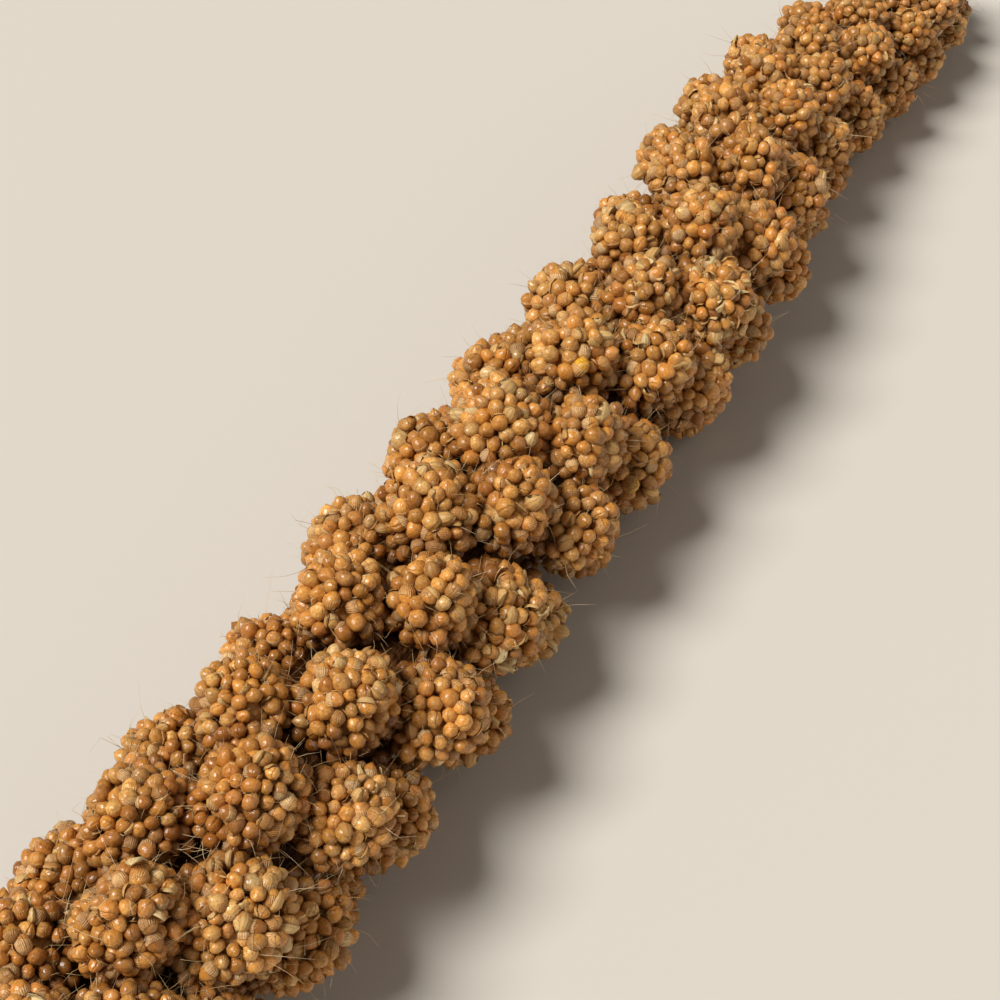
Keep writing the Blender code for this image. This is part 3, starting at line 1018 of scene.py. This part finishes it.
# A parabola from the root: straight along its direction, bent sideways with the square of the way;
# an elbowed one turns sharply at its elbow instead
def bristlePath(root, direction, bendTo, elbowTo, isElbowed, length):
    t = bristle["rows"][None, :, None]
    at = bristle["elbowAt"]
    curved = direction[:, None, :] * t + bendTo[:, None, :] * bristle["bend"] * t**2
    sharp = direction[:, None, :] * np.minimum(t, at) + elbowTo[:, None, :] * np.maximum(t - at, 0.0)
    way = np.where(isElbowed[:, None, None], sharp, curved) * length[:, None, None]
    path = carried(root[:, None, :] + way)

    # Those that would leave the box by more than the margin are shortened
    start = path[:, :1]
    low, high = np.array(cadBox[0]), np.array(cadBox[1])
    reach = path - start
    allowed = np.where(reach > 0, high + bristle["margin"] - start, start - low + bristle["margin"])
    fits = np.clip(allowed / np.maximum(np.abs(reach), 1e-7), 0.15, 1.0).min(axis=(1, 2), keepdims=True)
    return np.clip(start + reach * fits, low - bristle["margin"], high + bristle["margin"])


def makeBristleMaterial():
    material, tree, shader, given = startMaterial("bristle")
    along = given["along"]
    colour = colourRamp(tree, given["look"][0], bristle["tones"])
    colour = mix(tree, fade(tree, along, 0.0, 0.5, 0.35, 0.0), colour, hull["base"])
    rough = fade(tree, along, 0.0, 1.0, 0.5, 0.32)
    mottle = mottled(tree, given["place"], bristle["mottle"])
    finishSurface(tree, shader, colour, rough, mottle["Height"], bristle["bump"])
    return material


# A three-sided hair along each path, its radius falling evenly from root to end
def makeBristles():
    draw = np.random.default_rng(bristle["seed"])
    total = bristle["perCluster"] * len(clusterCentre)
    weight = bristle["onTop"] + crevice
    chosen = draw.choice(len(grainPoints), total, p=weight / weight.sum())
    normal = grainNormal[chosen]
    direction = normal * bristle["outwards"] + draw.normal(0, bristle["scatter"], (total, 3))
    direction = unitRows(direction + [bristle["towardsTip"], 0.0, 0.0])
    bendTo = unitRows(draw.normal(size=(total, 3)))
    back = draw.uniform(*bristle["elbowBack"], (total, 1))
    elbowTo = unitRows(np.cross(direction, bendTo) + direction * back)
    isElbowed = draw.uniform(size=total) < bristle["elbowShare"]
    length = draw.uniform(*bristle["length"], total)
    stray = draw.normal(0, bristle["stray"], (total, 3))
    outwards = np.maximum((stray * normal).sum(axis=1, keepdims=True), 0.0)
    root = grainPoints[chosen] + stray - outwards * normal  # none starts off the cluster
    path = bristlePath(root, direction, bendTo, elbowTo, isElbowed, length)
    turn = evenTurns(3)
    circles = circlesRound(framesAlong(direction, draw.uniform(0, 6, total)), turn)
    thick = bristle["radius"] * (1 - bristle["taper"] * bristle["rows"])[None, :, None, None]
    grid = path[:, :, None, :] + circles[:, None] * thick
    grid[..., 2] = np.maximum(grid[..., 2], bristle["clearance"] + 0.4 * thick[..., 0] * np.sin(turn))
    ends = grid[:, [0, -1]].mean(axis=2)
    look = np.stack([draw.uniform(0, 1, total)] * 3 + [np.zeros(total)], 1)
    addPiece("bristles", grid, ends, bristle["rows"], makeBristleMaterial(), look)


makeBristles()


# Stalk: a ribbed straw tube through the whole head, cut square at its end

stalk = {
    "radius": 0.0021,
    "tipRadius": 0.0008,
    "around": 40,
    "bareRows": 90,
    "hiddenRows": 40,
    "hiddenFrom": 0.003,
    "ribs": 11,
    "ribDepth": 0.030,
    "wander": 0.0009,
    "hollow": 0.0002,      # of the cut end's middle
    "seed": 8,
    "pale": (0.700, 0.560, 0.300),
    "dark": (0.420, 0.270, 0.110),
    "rind": 0.22,          # of its radius
    "pith": (0.740, 0.640, 0.430),
    "pithDark": (0.560, 0.430, 0.240),
    "fibres": (70.0, 8500.0, 8500.0),
    "mottle": (160.0, 2500.0),
    "bump": (0.6, 0.0001),
}


def makeStalkMaterial():
    material, tree, shader, given = startMaterial("dry stalk")
    place = given["place"]
    stretched = addNode(tree, "Mapping", {"Vector": place, "Scale": stalk["fibres"]}).outputs["Vector"]
    fibre = noise(tree, stretched, 1.0, 5.0)
    mottle = mottled(tree, place, stalk["mottle"])
    rib = ribbed(tree, given["around"], float(stalk["ribs"]))
    colour = mix(tree, fade(tree, fibre, 0.35, 0.7), stalk["pale"], stalk["dark"])
    colour = mix(tree, times(tree, mottle["Blotch"], 0.35), colour, stalk["dark"])
    colour = mix(tree, fade(tree, rib, 0.0, 1.0, 0.25, 0.0), colour, stalk["dark"])
    isPith = fade(tree, given["along"], 0.0, -0.004)
    pith = mix(tree, mottle["Speck"], stalk["pith"], stalk["pithDark"])
    colour = mix(tree, isPith, colour, pith)
    rough = fade(tree, fibre, 0.3, 0.7, 0.45, 0.7)
    height = timesPlus(tree, fibre, 0.8, times(tree, mottle["Height"], 0.3))
    finishSurface(tree, shader, colour, rough, height, stalk["bump"])
    return material


# A tube along the middle line: its radius falls evenly from cut end to tip, times ribs that are cosines
def makeStalk():
    draw = np.random.default_rng(stalk["seed"])
    first, last = stemLow.x - head["start"], stemHigh.x - head["start"]
    bare = np.linspace(first, 0.0, stalk["bareRows"])
    hidden = np.linspace(stalk["hiddenFrom"], last, stalk["hiddenRows"])
    s = np.concatenate([[first], bare, hidden])  # the cut end has a ring of its own, between rind and pith
    share = (s - first) / (last - first)
    share[0] = -0.01                              # which tells the material where the pith is
    turn = evenTurns(stalk["around"])
    radius = (stalk["radius"] + (stalk["tipRadius"] - stalk["radius"]) * share)[:, None]
    rib = stalk["ribDepth"] * (np.cos(stalk["ribs"] * turn)[None, :] - 1)
    wander = draw.normal(0, stalk["wander"], (len(s), 1)).cumsum(axis=0)
    radius = radius * (1 + rib + wander - wander.mean())
    radius[0] = radius[1] * (1 - stalk["rind"])
    row, column = np.broadcast_arrays(s[:, None], turn[None, :])
    grid = carried(ringPoint(row, -column, radius))[None]
    ends = grid[:, [0, -1]].mean(axis=2)
    ends[0, 0, 0] += stalk["hollow"]
    piece = addPiece("stalk", grid, ends, share, makeStalkMaterial(), np.ones((1, 4)), "stem")
    piece.data.set_sharp_from_angle(angle=math.radians(50))


makeStalk()


# Floor, light and camera

studio = {
    "floorSize": 12.0,
    "floor": (0.63, 0.605, 0.565),
    "floorRoughness": 0.8,
    "world": (0.92, 0.86, 0.78),
    "worldStrength": 0.15,
    "backdrop": 0.80,      # how bright the world looks behind the floor, whatever light it gives
    "keyFrom": (-0.85, 0.75, 1.65),
    "keyPower": 3.8,
    "keyWidth": 26,        # degrees
    "keyColour": (1.0, 0.95, 0.88),
    "fillFrom": (0.5, -1.5, 0.9),
    "fillPower": 0.45,
    "fillWidth": 70,
    "fillColour": (1.0, 0.92, 0.82),
}

view = {
    "place": (-0.12301, -0.06501, 0.15227),
    "heading": math.radians(61.72),    # from +Y towards +X
    "lookDown": math.radians(45.63),
    "angle": math.radians(30),
}


def addFloor():
    half = studio["floorSize"] / 2
    mesh = bpy.data.meshes.new("floor")
    corners = [(-half, -half, 0), (half, -half, 0), (half, half, 0), (-half, half, 0)]
    mesh.from_pydata(corners, [], [(0, 1, 2, 3)])
    material = bpy.data.materials.new("floor")
    material.use_nodes = True
    shader = material.node_tree.nodes["Principled BSDF"]
    shader.inputs["Base Color"].default_value = (*studio["floor"], 1.0)
    shader.inputs["Roughness"].default_value = studio["floorRoughness"]
    mesh.materials.append(material)
    addObject("floor", mesh)


# A far and wide lamp lights the floor evenly as far as it is seen
def addLight(name):
    light = bpy.data.lights.new(name, "SUN")
    light.angle = math.radians(studio[name + "Width"])
    light.energy = studio[name + "Power"]
    light.color = studio[name + "Colour"]
    lamp = addObject(name, light)
    lamp.location = studio[name + "From"]
    lamp.rotation_euler = (-lamp.location).to_track_quat("-Z", "Y").to_euler()


def addCamera():
    camera = addObject("camera", bpy.data.cameras.new("camera"))
    camera.data.angle = view["angle"]
    camera.data.clip_start = 0.005
    heading, down = view["heading"], view["lookDown"]
    level = math.cos(down)
    ahead = (level * math.sin(heading), level * math.cos(heading), -math.sin(down))
    camera.location = view["place"]
    camera.rotation_euler = Vector(ahead).to_track_quat("-Z", "Y").to_euler()
    bpy.context.scene.camera = camera


def lightScene():
    world = bpy.data.worlds.new("studio")
    world.use_nodes = True
    background = world.node_tree.nodes["Background"]
    background.inputs["Color"].default_value = (*studio["world"], 1.0)
    seen = world.node_tree.nodes.new("ShaderNodeLightPath").outputs["Is Camera Ray"]
    strength = fade(world.node_tree, seen, 0.0, 1.0, studio["worldStrength"], studio["backdrop"])
    feed(world.node_tree, background.inputs["Strength"], strength)
    bpy.context.scene.world = world
    addLight("key")
    addLight("fill")
    bpy.context.scene.view_settings.view_transform = "Standard"


addFloor()
lightScene()
addCamera()
print("studio ready")
